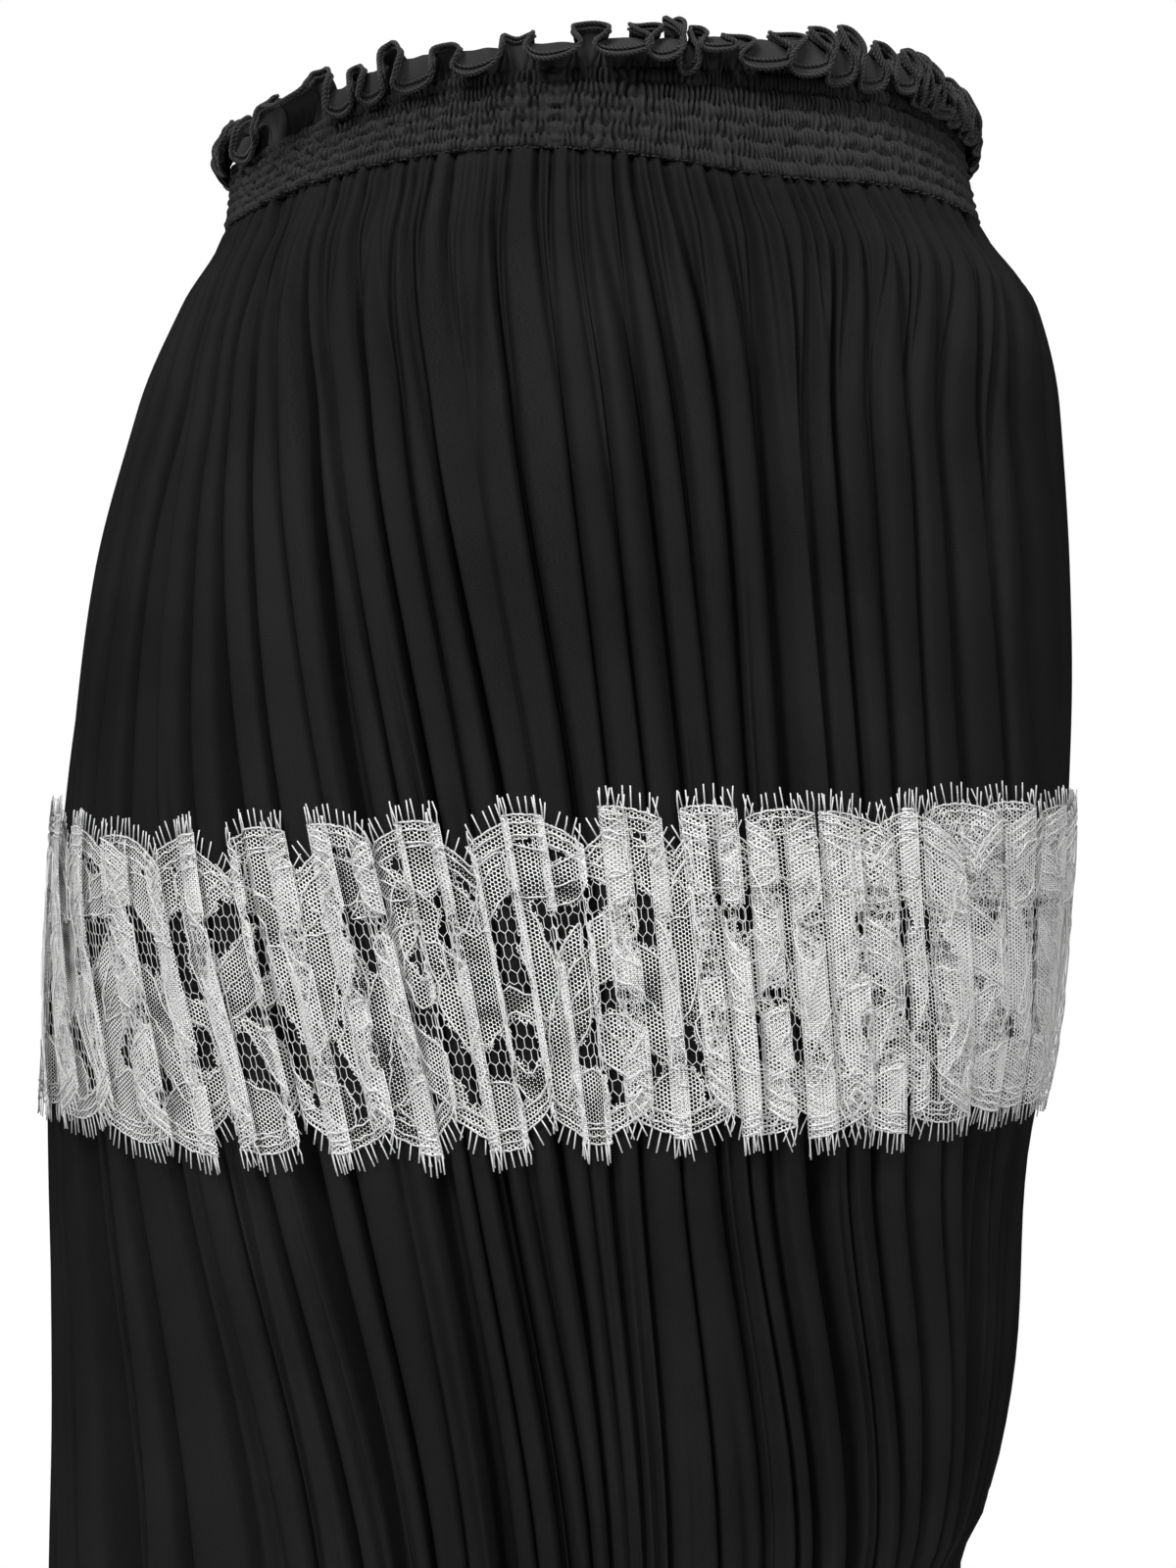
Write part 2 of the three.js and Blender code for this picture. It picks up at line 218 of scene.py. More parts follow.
def valley_angle(index, z):
    """Angle of a valley at height z. Valleys past the last start round the skirt again."""
    turns = np.floor_divide(index, FOLD_COUNT)
    angles = np.moveaxis(FOLDS[index - turns * FOLD_COUNT, :5], -1, 0)
    return through(FOLD_HEIGHTS, angles, z) + 360 * turns


def valley_depth(index, z):
    """Depth of a valley at height z, more at the sides, and no steeper than the room beside it allows."""
    number = np.mod(index, FOLD_COUNT)
    fold = FOLDS[number]
    upper = fold[..., 5] * DEEPER * (1 + 0.25 * uneven(number, 60))
    lower = fold[..., 6] * DEEPER * (1 + 0.3 * uneven(number, 61))
    depths = np.stack([0 * upper + GATHER_DEPTH, upper, (upper + lower) / 2, lower])
    asked = through(DEPTH_HEIGHTS, depths, z)
    here = valley_angle(index, z)
    asked = asked * (1 + np.sin(np.radians(here)) ** 4)
    room = np.minimum(here - valley_angle(index - 1, z), valley_angle(index + 1, z) - here)
    return np.minimum(asked, STEEPEST * room * degree_length(here, z))


def valley_at(t, z):
    """Angle of a place across the cloth at height z, straight between valleys."""
    t = np.asarray(t, float)
    k = np.floor(t).astype(int)
    z = z + 0 * t
    start = valley_angle(k, z)
    return start + (valley_angle(k + 1, z) - start) * (t - k)


def fold_surface(t, z):
    """Angle round the skirt and distance out of the cloth at t, counted in folds, and height z.
    Across a fold, u from 0 to 1, the cloth rises as a parabola mixed with a cosine to the sixth power,
    and a sine squeezes it towards its valleys, which makes them narrow and the crest round, most of all
    at the sides. The table's deepest valleys are stretched wide instead, from 100 mm below the band on.
    Gathers, which are narrow bell-shaped grooves, run down from the band in the crests. They drift
    towards the nearest valley and fade out at uneven heights. Low creases of the same shape start at
    uneven heights and run down to the hem."""
    t, z = np.broadcast_arrays(np.asarray(t, float), np.asarray(z, float))
    k = np.floor(t).astype(int)
    u = t - k
    fold = np.mod(k, FOLD_COUNT)
    below = band_foot(valley_at(t, FOLD_HEIGHTS[0])) - z
    skewed = u + 0.75 * uneven(fold, 1) * u * (1 - u)
    wide, wide_next = (np.clip((FOLDS[np.mod(n, FOLD_COUNT), 6] - 8) / 4, 0, 1) for n in (k, k + 1))
    wide = (wide + (wide_next - wide) * ease(2 * u - 0.5)) * ease((below - 100) / 150)
    start, end = valley_angle(k, z), valley_angle(k + 1, z)
    side = np.sin(np.radians((start + end) / 2)) ** 4
    pinch = np.minimum(0.66 + 0.26 * uneven(fold, 2) + 0.35 * side, 0.95)
    pinch = pinch * (0.45 + 0.55 * ease(below / 60)) - 0.95 * wide
    width = (end - start) * degree_length((start + end) / 2, z)
    angle = start + (end - start) * (u - pinch * np.sin(TURN * u) / TURN)
    valley = 0.34 * (2 * skewed - 1) ** 2 + 0.66 * np.cos(math.pi * skewed) ** 6
    depth = np.where(skewed < 0.5, valley_depth(k, z), valley_depth(k + 1, z))
    depth = depth * (0.5 + 0.5 * ease(below / 16))
    crest_dip = (1.3 + 1.6 * np.sin(2.3 * fold + z / 95) * uneven(fold, 3)) * ease(below / 12)
    slant = 1.7 * uneven(fold, 11) * np.sin(TURN * (0.7 * u + 0.3 * uneven(fold, 12)) + z / 120)
    out = -depth * valley - (1 - valley) * (crest_dip + slant * ease(below / 30))
    for n in range(GATHERS):
        home = (n + 1) / (GATHERS + 1) + 0.12 * uneven(fold, 20 + n)
        drift = 0.7 * ease((below - 12) / (150 + 90 * uneven(fold, 24 + n)))
        place = home + (np.round(home + 0.1 * uneven(fold, 28 + n)) - home) * drift
        reach = GATHER_REACH * (0.2 + 0.8 * (0.5 + 0.5 * uneven(fold, 32 + n)) ** 1.7)
        fade = 1 - ease((below - 0.3 * reach) / (0.7 * reach))
        deep = (2.4 + 3.4 * (0.5 + 0.5 * uneven(fold, 36 + n))) * (0.6 + 0.4 * ease(below / 8))
        groove = 1.15 + 0.4 * uneven(fold, 40 + n) + 0.9 * ease(below / 120)
        out = out - deep * fade * bell((u - place) * width, 0, groove)
    for n in range(LOW_CREASES):
        place = 0.5 + 0.27 * uneven(fold, 44 + n) + 0.1 * np.sin(z / 90 + 2.2 * fold + n)
        start_below = 250 + 150 * uneven(fold, 46 + n)
        deep = 4.2 * np.maximum(uneven(fold, 48 + n) + 0.3, 0) * ease((below - start_below) / 110)
        groove = 1.3 + 0.5 * uneven(fold, 50 + n)
        out = out - deep * bell((u - place) * width, 0, groove)
    puff = 1.3 * ease(below / 5) - 1.2
    ripple = 0.3 * np.sin(z / 17 + 2.1 * k) * np.sin(math.pi * u) ** 2 * ease((below - 40) / 60)
    return angle, out + puff * np.exp(-np.maximum(below, 0) / 45) + ripple


def band_top(angle):
    """Height of the first row of shirring, low on the left and high on the right."""
    away = from_back(angle)
    return SHIRRING_TOP - 11.0 * bell(away, -58, 28) + 4.0 * bell(away, 50, 28)


def band_foot(angle):
    """Height of the last row of shirring, which sags between the sides and the back's middle."""
    away = from_back(angle)
    sag = 8.0 * bell(away, 25, 19) + 3.4 * bell(away, 60, 19)
    sag = sag + 6.0 * bell(away, -64, 17) + 2.0 * bell(away, -40, 14)
    return SHIRRING_FOOT - sag


def arc_length(t, z, surface=fold_surface):
    """Length along the folded cloth at one height, from the first place to each."""
    z = z + 0 * t
    angle, out = surface(t, z)
    points = outline_point(angle, z, out)
    return np.concatenate([[0], np.cumsum(np.linalg.norm(np.diff(points, axis=0), axis=1))])


# Meshes

def make_mesh(name, points, faces, uv=None, values=None):
    """A smooth object in metres from points in millimetres, a list of face arrays, a uv for each face
    corner in the faces' order, and named values for each point."""
    mesh = bpy.data.meshes.new(name)
    corners = np.concatenate([face.ravel() for face in faces])
    sizes = np.concatenate([np.full(len(face), face.shape[1]) for face in faces])
    mesh.vertices.add(len(points))
    mesh.vertices.foreach_set("co", np.ascontiguousarray(points * MM, np.float32).ravel())
    mesh.loops.add(len(corners))
    mesh.loops.foreach_set("vertex_index", corners.astype(np.int32))
    mesh.polygons.add(len(sizes))
    mesh.polygons.foreach_set("loop_start", np.concatenate([[0], np.cumsum(sizes)[:-1]]).astype(np.int32))
    mesh.polygons.foreach_set("use_smooth", np.ones(len(sizes), bool))
    mesh.update(calc_edges=True)
    if uv is not None:
        layer = mesh.uv_layers.new(name="cloth")
        layer.uv.foreach_set("vector", np.ascontiguousarray(uv * MM, np.float32).ravel())
    for key, value in (values or {}).items():
        attribute = mesh.attributes.new(key, "FLOAT", "POINT")
        attribute.data.foreach_set("value", value.astype(np.float32).ravel())
    mesh.validate()
    piece = bpy.data.objects.new(name, mesh)
    bpy.context.scene.collection.objects.link(piece)
    return piece


def grid_faces(rows, columns, wrap=False):
    """Four-cornered faces of a grid whose first row is the top, facing out where columns go from left to
    right at the back. Also each corner's row and column, with a wrapped column past the last."""
    wide = columns if wrap else columns - 1
    r, c = np.meshgrid(np.arange(rows - 1), np.arange(wide), indexing="ij")
    corner_rows = np.stack([r, r + 1, r + 1, r], axis=-1).reshape(-1, 4)
    corner_columns = np.stack([c, c, c + 1, c + 1], axis=-1).reshape(-1, 4)
    return corner_rows * columns + corner_columns % columns, corner_rows, corner_columns


def grid_piece(name, points, uv=None, wrap=False, values=None):
    """A piece from a grid of points. uv has a row and column for each of the grid's, and one column more
    where the grid wraps."""
    rows, columns = points.shape[:2]
    faces, corner_rows, corner_columns = grid_faces(rows, columns, wrap)
    corner_uv = None if uv is None else uv[corner_rows, corner_columns].reshape(-1, 2)
    return make_mesh(name, points.reshape(-1, 3), [faces], corner_uv, values)


def tubes(name, paths, normals, counts, closed, radius, sides=3, caps=True):
    """Round threads along many paths, joined in one piece: at each point of a path, a ring of sides points
    lies square to the path, and rings are joined along it. Open paths end in a flat face, if caps.
    paths and normals hold all the points in order, and counts and closed tell the paths apart."""
    counts, closed = np.asarray(counts), np.asarray(closed)
    starts = np.concatenate([[0], np.cumsum(counts)[:-1]])
    owner = np.repeat(np.arange(len(counts)), counts)
    number = np.arange(len(paths))
    first, final = starts[owner], starts[owner] + counts[owner] - 1
    place = number - first
    last = number == final
    loop = closed[owner]
    after = np.where(last, np.where(loop, first, number), number + 1)
    before = np.where(place == 0, np.where(loop, final, number), number - 1)
    along = paths[after] - paths[before]
    along /= np.maximum(np.linalg.norm(along, axis=1, keepdims=True), 1e-9)
    side = np.cross(along, normals)
    side /= np.maximum(np.linalg.norm(side, axis=1, keepdims=True), 1e-9)
    up = np.cross(side, along)
    turn = TURN * (np.arange(sides) + 0.25) / sides
    thick = np.broadcast_to(radius, len(paths))[:, None, None]
    ring = side[:, None] * np.cos(turn)[:, None] + up[:, None] * np.sin(turn)[:, None]
    points = (paths[:, None] + ring * thick).reshape(-1, 3)
    here = number[~last | loop]
    there = after[here]
    n = np.arange(sides)
    m = (n + 1) % sides
    walls = np.stack([here[:, None] * sides + n, there[:, None] * sides + n,
                      there[:, None] * sides + m, here[:, None] * sides + m], axis=-1).reshape(-1, 4)
    first_ends = starts[~closed]
    last_ends = first_ends + counts[~closed] - 1
    ends = np.concatenate([first_ends[:, None] * sides + n, last_ends[:, None] * sides + n[::-1]])
    ends = ends if caps else ends[:0]
    faces = [walls] + ([ends] if len(ends) else [])
    lengths = np.linalg.norm(paths - paths[before], axis=1)
    travelled = np.cumsum(np.where(place == 0, 0, lengths))
    ahead = travelled[here] + np.linalg.norm(paths[there] - paths[here], axis=1)
    around = np.stack([n, n, n + 1, n + 1], axis=-1) / sides * TURN * np.max(radius)
    along_uv = np.stack([travelled[here], ahead, ahead, travelled[here]], axis=-1)
    wall_uv = np.stack(np.broadcast_arrays(along_uv[:, None, :], around[None]), axis=-1).reshape(-1, 2)
    uv = np.concatenate([wall_uv, np.zeros((ends.size, 2))])
    return make_mesh(name, points, faces, uv)


def short_threads(name, points, normals, each, radius, sides, caps=True):
    """Open threads of the same number of points each, in one piece."""
    count = len(points) // each
    counts, closed = np.full(count, each), np.zeros(count, bool)
    return tubes(name, points, normals, counts, closed, radius, sides, caps)


# Materials

def new_material(name, colour, roughness, sheen=0.0):
    """A material, its Principled node and its node tree."""
    material = bpy.data.materials.new(name)
    material.use_nodes = True
    shader = material.node_tree.nodes["Principled BSDF"]
    shader.inputs["Base Color"].default_value = (*colour, 1)
    shader.inputs["Roughness"].default_value = roughness
    shader.inputs["Sheen Weight"].default_value = sheen
    shader.inputs["Sheen Roughness"].default_value = 0.5
    shader.inputs["Specular IOR Level"].default_value = 0.1
    return material, shader, material.node_tree


def math_node(tree, operation, *inputs):
    """A Math node whose inputs are sockets or numbers. Returns its output."""
    node = tree.nodes.new("ShaderNodeMath")
    node.operation = operation
    for slot, value in zip(node.inputs, inputs):
        if isinstance(value, (int, float)):
            slot.default_value = value
        else:
            tree.links.new(value, slot)
    return node.outputs[0]


def uv_nodes(tree):
    """The cloth's flat place in metres: its uv socket, then its sockets across and down."""
    cloth_uv = tree.nodes.new("ShaderNodeUVMap")
    cloth_uv.uv_map = "cloth"
    parts = tree.nodes.new("ShaderNodeSeparateXYZ")
    tree.links.new(cloth_uv.outputs[0], parts.inputs[0])
    return cloth_uv.outputs[0], parts.outputs[0], parts.outputs[1]


def noise_node(tree, vector, scale, detail):
    """A noise at a vector socket. Returns its output."""
    noise = tree.nodes.new("ShaderNodeTexNoise")
    noise.inputs["Scale"].default_value = scale
    noise.inputs["Detail"].default_value = detail
    tree.links.new(vector, noise.inputs["Vector"])
    return noise.outputs[0]


def sine_node(tree, value, pitch):
    """The sine of a socket in metres, with a pitch in millimetres."""
    return math_node(tree, "SINE", math_node(tree, "MULTIPLY", value, TURN / (pitch * MM)))


def weighted(tree, first, first_share, second, second_share=None):
    """The sum of two sockets, each times its share. The second counts whole without one."""
    if second_share is not None:
        second = math_node(tree, "MULTIPLY", second, second_share)
    return math_node(tree, "ADD", second, math_node(tree, "MULTIPLY", first, first_share))


def add_bump(tree, shader, height, strength, distance):
    """Sets the shader's normal from a height socket. Returns the bump's node."""
    bump = tree.nodes.new("ShaderNodeBump")
    bump.inputs["Strength"].default_value = strength
    bump.inputs["Distance"].default_value = distance
    tree.links.new(height, bump.inputs["Height"])
    tree.links.new(bump.outputs[0], shader.inputs["Normal"])
    return bump


def add_tone(tree, shader, colour, dark, light, factor):
    """Sets the base colour, which goes from dark to light times the colour with a factor socket."""
    tone = tree.nodes.new("ShaderNodeMix")
    tone.data_type = "RGBA"
    tone.inputs["A"].default_value = (*(dark * channel for channel in colour), 1)
    tone.inputs["B"].default_value = (*(light * channel for channel in colour), 1)
    tree.links.new(factor, tone.inputs["Factor"])
    tree.links.new(tone.outputs["Result"], shader.inputs["Base Color"])


def cloth_material(name, colour, thread_pitch, ply=1.0):
    """Black plain-woven cloth: crosswise threads a thread_pitch apart as bump, faint slubs in the threads,
    and a slow change of colour over the piece."""
    material, shader, tree = new_material(name, colour, 0.8)
    shader.inputs["Specular IOR Level"].default_value = 0.02
    cloth_uv, across, down = uv_nodes(tree)
    weft = sine_node(tree, down, thread_pitch)
    warp = sine_node(tree, across, thread_pitch * 0.8)
    stretch = tree.nodes.new("ShaderNodeMapping")
    stretch.inputs["Scale"].default_value = (380, 1500, 1)
    tree.links.new(cloth_uv, stretch.inputs[0])
    slubs = noise_node(tree, stretch.outputs[0], 5, 3)
    threads = weighted(tree, weft, 0.6, warp, 0.25)
    height = weighted(tree, slubs, 1.6, threads)
    add_bump(tree, shader, height, 0.35 * ply, 0.00012)
    where = tree.nodes.new("ShaderNodeTexCoord")
    cloud = noise_node(tree, where.outputs["Object"], 14, 4)
    mixed = weighted(tree, cloud, 0.3, slubs, 0.7)
    factor = math_node(tree, "MULTIPLY_ADD", mixed, 2.6, -0.8)
    add_tone(tree, shader, colour, 0.25, 1.75, factor)
    return material


def thread_material(name, colour, ply_pitch, dark=0.85):
    """Twisted or wrapped thread: slanting plies a ply_pitch apart along the thread as bump, and as painted
    shade: the colour falls to dark times itself in the grooves between them."""
    material, shader, tree = new_material(name, colour, 0.8, sheen=0.15)
    _, across, down = uv_nodes(tree)
    ply = sine_node(tree, math_node(tree, "ADD", across, down), ply_pitch)
    add_bump(tree, shader, ply, 0.6, 0.0002)
    # Painted shade: the colour darkens in the grooves between the plies, in step with the bump.
    add_tone(tree, shader, colour, dark, 1.0, math_node(tree, "MULTIPLY_ADD", ply, 0.5, 0.5))
    return material


def dots_height(tree, x, y, pitch):
    """Three cosines at 60 degrees to each other: high at the points of a hexagonal lattice pitch apart.
    x and y are sockets in metres."""
    wave = TURN / (pitch * MM * math.sqrt(3) / 2)
    total = None
    for angle in (0, 60, 120):
        c, s = math.cos(math.radians(angle)) * wave, math.sin(math.radians(angle)) * wave
        value = math_node(tree, "COSINE", weighted(tree, x, c, y, s))
        total = value if total is None else math_node(tree, "ADD", total, value)
    return total


def net_material():
    """Fine lace net: white threads round small holes on a hexagonal lattice, clear where the value fill is
    past about FILL_REACH, which is outside the motifs. The motifs' edges wander, and the holes are larger
    in some places than in others."""
    material, shader, tree = new_material("lace_net", LACE_WHITE, 0.85, sheen=0.1)
    cloth_uv, *place = uv_nodes(tree)
    wander = noise_node(tree, cloth_uv, 260, 1)
    pushed = [math_node(tree, "MULTIPLY_ADD", wander, 0.0006, part) for part in place]
    lattice = dots_height(tree, *pushed, NET_PITCH)
    density = noise_node(tree, cloth_uv, 55, 2)
    threshold = math_node(tree, "MULTIPLY_ADD", density, 2.4, -2.1)
    hole = math_node(tree, "MULTIPLY", math_node(tree, "SUBTRACT", lattice, threshold), 2.6)
    hole = math_node(tree, "MINIMUM", math_node(tree, "MAXIMUM", hole, 0), 1)
    fill = tree.nodes.new("ShaderNodeAttribute")
    fill.attribute_name = "fill"
    reach = math_node(tree, "MULTIPLY_ADD", wander, 5.0, FILL_REACH - 2.5)
    inside = math_node(tree, "LESS_THAN", fill.outputs["Fac"], reach)
    cover = math_node(tree, "MULTIPLY", math_node(tree, "SUBTRACT", 1, hole), inside)
    tree.links.new(cover, shader.inputs["Alpha"])
    add_bump(tree, shader, lattice, 0.7, 0.0003).invert = True
    return material


BLACK = (0.0124, 0.0124, 0.0124)
# Painted light: the band and its heading are coloured 2.5 times lighter than the panels' black. This stands
# in for the stronger top light that falls on them and the light and sheen their puckers catch.
SHIRRING_BLACK_PAINTED_LIGHTER = (0.031, 0.031, 0.031)
BLACK_THREAD = (0.036, 0.036, 0.036)
LACE_WHITE = (0.97, 0.97, 0.965)
CORD_WHITE = (1.0, 1.0, 0.995)
NET_PITCH = 1.32
FILL_REACH = 1.1
BLACK_CLOTH = cloth_material("black_crepe", BLACK, 0.45)
BLACK_SHIRRING = cloth_material("black_shirring", SHIRRING_BLACK_PAINTED_LIGHTER, 0.45, ply=0.8)
# Painted shade: the overlock thread's ply grooves are painted down to a quarter of its colour.
BLACK_EDGE = thread_material("black_overlock_thread", BLACK_THREAD, 1.5, dark=0.25)
LACE_CORD = thread_material("lace_cord", CORD_WHITE, 0.7)
LACE_NET = net_material()


def finish_piece(piece, material, slot, *nodes):
    """Gives a piece its material, sets it on the one body, and hides the nodes that it stands for. The slot
    is not used."""
    piece.data.materials.append(material)
    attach(piece, "root")
    if nodes:
        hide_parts(*nodes)
    return piece


# Black panels

def fold_places(first, last):
    """Places across the cloth, counted in folds, closer together on the crests, where the folds stretch
    them apart, and closer at the back, whose folds are narrower."""
    places = []
    for k in range(first, last):
        samples = BACK_SAMPLES if k % FOLD_COUNT < len(BACK_FOLDS) - 1 else FRONT_SAMPLES
        share = np.arange(samples) / samples
        places.append(k + share + 0.07 * np.sin(TURN * share))
    return np.append(np.concatenate(places), last)


def panel_piece(name, first, last, node):
    """One gathered panel between two seams. Its ends turn in as seam allowances, and its foot turns up
    inside as a hem, which shows as a shallow groove along its stitching. Its rows are closer near the
    band, and its top row is tucked in behind the band's foot."""
    t = fold_places(first, last)
    top = band_foot(valley_at(t, FOLD_HEIGHTS[0]))
    share = np.linspace(0, 1, CLOTH_ROWS - 1)[:, None]
    z = np.vstack([top[None] + 1.2, top - 0.1 + (HEM_Z - top + 0.1) * (0.35 * share + 0.65 * share**2)])
    angle, out = fold_surface(t[None], z)
    out = out - 0.5 * bell(z, HEM_Z + HEM_TURN, 1.6)
    out[0] -= 1.2
    hem_z = HEM_Z + np.array([0.2, 2.5, HEM_TURN])[:, None] + 0 * t
    hem_angle, hem_out = fold_surface(t[None], hem_z)
    hem_out = hem_out - np.array([0.9, 1.6, 1.9])[:, None]
    angle, z, out = np.vstack([angle, hem_angle]), np.vstack([z, hem_z]), np.vstack([out, hem_out])
    points = outline_point(angle, z, out)
    flaps = []
    for edge in (0, -1):
        start = points[:, edge]
        inward = outline_point(angle[:, edge], z[:, edge], out[:, edge] - SEAM_ALLOWANCE)
        flaps.append(start[:, None] + (inward - start)[:, None] * np.array([0.5, 1.0])[:, None])
    left, right = flaps
    points = np.concatenate([left[:, ::-1], points, right], axis=1)
    across = arc_length(t, WIDTH_HEIGHT)
    margin = np.array([SEAM_ALLOWANCE, SEAM_ALLOWANCE / 2])
    uv_across = np.concatenate([-margin, across, across[-1] + margin[::-1]])
    down = np.concatenate([z[:, 0][:CLOTH_ROWS], HEM_Z - (z[CLOTH_ROWS:, 0] - HEM_Z)])
    uv = np.stack(np.broadcast_arrays(uv_across[None], down[:, None]), axis=-1)
    piece = grid_piece(name, points, uv)
    finish_piece(piece, BLACK_CLOTH, "black_cloth", node)


# Waistband

BAND_ROWS = 6
BAND_PUCKERS = 400
BAND_COLUMNS = 2640
BAND_SAMPLES = 5
BAND_SEAM_ANGLE = -4.6
BAND_ROUND = 780.0


def waistband_piece():
    """The shirred band. Between rows of elastic stitching the cloth puffs out as the root of a sine, and
    across it lie fine puckers, which are round ridges with narrow valleys, of uneven width and a little
    out of step from row to row. They flatten and lump at the seam. Its inside is plain."""
    across = np.arange(BAND_COLUMNS) / BAND_COLUMNS
    angle = 360 * across[None]
    down = np.linspace(0, 1, BAND_SAMPLES * BAND_ROWS + 1)[:, None]
    foot = band_foot(angle)
    top = band_top(angle)
    waver = 0.6 * np.sin(TURN * 83 * across + 13 * down) + 0.45 * np.sin(TURN * 131 * across - 11 * down)
    z = top + (foot - top) * down + waver * np.sin(math.pi * down) ** 0.5
    row = np.minimum(np.floor(down * BAND_ROWS), BAND_ROWS - 1)
    puff = np.abs(np.sin(math.pi * BAND_ROWS * down)) ** 0.6
    away = from_back(angle - BAND_SEAM_ANGLE)
    wider = bell(away, 0, 26)
    drift = 1.5 * np.sin(TURN * 23 * across + 0.5 * row) + 1.1 * np.sin(TURN * 41 * across - 0.9 * row)
    slip = 1.3 * np.sin(TURN * 61 * across + 2.6 * row) * (down * BAND_ROWS - row - 0.5)
    stretch = 2.2 * wider * away / 3 + 3.3 * np.sin(np.radians(3 * angle))
    stretch = stretch + 2.1 * np.sin(np.radians(7 * angle))
    jump = 0.9 * np.sin(TURN * 37 * across + 4.1 * row) * (0.4 + 0.6 * np.sin(np.radians(angle)) ** 2)
    finer = 0.24 * np.sin(np.radians(2 * angle)) / (2 * TURN)
    phase = BAND_PUCKERS * math.pi * (across + finer) - stretch + drift + slip + jump
    phase = phase + 0.35 * uneven(row, 21)
    ridge = np.abs(np.sin(phase)) ** 0.9
    size = 0.95 + 0.35 * np.sin(TURN * 67 * across + 2.2 * row) + 0.25 * np.sin(TURN * 113 * across - row)
    seam = bell(away, 0, 1.9)
    lumps = 0.9 * seam * np.sin(TURN * z / 3.1 + 2 * np.sin(TURN * z / 11)) * np.cos(away / 0.9)
    out = -2.2 + 0.95 * puff + (3.1 * ridge - 1.9) * size * (0.62 + 0.38 * puff) * (1 - 0.75 * seam) + lumps
    outer = outline_point(angle, z, out)
    inner_z = np.stack([foot[0], top[0]])
    inner = outline_point(angle + 0 * inner_z, inner_z, -5.0 + 0 * inner_z)
    closed = np.concatenate([outer, inner, outer[:1]])
    rows, columns = closed.shape[:2]
    faces, corner_rows, corner_columns = grid_faces(rows, columns, wrap=True)
    faces = np.where(corner_rows == rows - 1, corner_columns % columns, faces)
    depth = np.concatenate([z[:, 0], inner_z[:, 0], z[:1, 0]])
    uv = np.stack([BAND_ROUND * corner_columns / columns, depth[corner_rows]], axis=-1).reshape(-1, 2)
    piece = make_mesh("shirred_waistband", closed[:-1].reshape(-1, 3), [faces], uv)
    finish_piece(piece, BLACK_SHIRRING, "black_shirring", "waistband")


def foot_stitches():
    """A row of plain stitches along the last shirring row, where the panels are sewn on."""
    count = 250
    n = np.arange(count)
    middle = 360 * (n + 0.2 * uneven(n, 81)) / count
    angle = middle[:, None] + np.array([-0.42, 0.0, 0.42])
    z = band_foot(angle) - 0.2 + 0.3 * uneven(n, 82)[:, None]
    out = -0.9 + np.array([-0.7, 0.25, -0.7]) + 0 * angle
    points = outline_point(angle, z, out).reshape(-1, 3)
    normals = outline_point(angle, z, out + 1).reshape(-1, 3) - points
    piece = short_threads("foot_stitches", points, normals, 3, 0.26, 4)
    finish_piece(piece, BLACK_EDGE, "black_shirring")


# Ruffled heading

RUFFLE_WAVES = 50
RUFFLE_SAMPLES = 42
RUFFLE_ROWS = 13
RUFFLE_CLOTH = 16.0
RUFFLE_LONGER = 10.0
ROLL_UP = math.radians(36)
ROLL_DOWN = math.radians(184)
RUFFLE_FOOT = -3.4


def ruffle_meander():
    """The free edge, flat: a line whose direction swings as a sine with a second sine that rounds its
    loops, so that it bends back on itself. Returns, for each column, how far along it is in waves, its
    share from the top of an upward loop to the foot of a hanging one, and its wave's number."""
    s = np.arange(RUFFLE_WAVES * RUFFLE_SAMPLES) / RUFFLE_SAMPLES
    wave = np.floor(s)
    turned = TURN * s / RUFFLE_WAVES
    swing = 1.87 + 0.2 * np.sin(turned) + 0.1 * np.sin(5 * turned) + 0.12 * np.sin(11 * turned)
    phase = TURN * s
    heading = swing * np.sin(phase) + 0.22 * np.sin(2 * phase)
    step = np.cos(heading) * (1 + 0.3 * np.sin(9 * turned + 2) + 0.2 * np.sin(14 * turned))
    along = np.concatenate([[0], np.cumsum(step)[:-1]])
    total = np.sum(step)
    hang = np.cumsum(np.sin(heading))
    starts = np.append(hang[::RUFFLE_SAMPLES], hang[0])
    hang = hang - np.interp(s, np.arange(RUFFLE_WAVES + 1), starts)
    hang = np.maximum(hang, 0)
    tall = hang.reshape(RUFFLE_WAVES, -1).max(axis=1)[wave.astype(int)]
    return s, along / total, hang / tall, wave


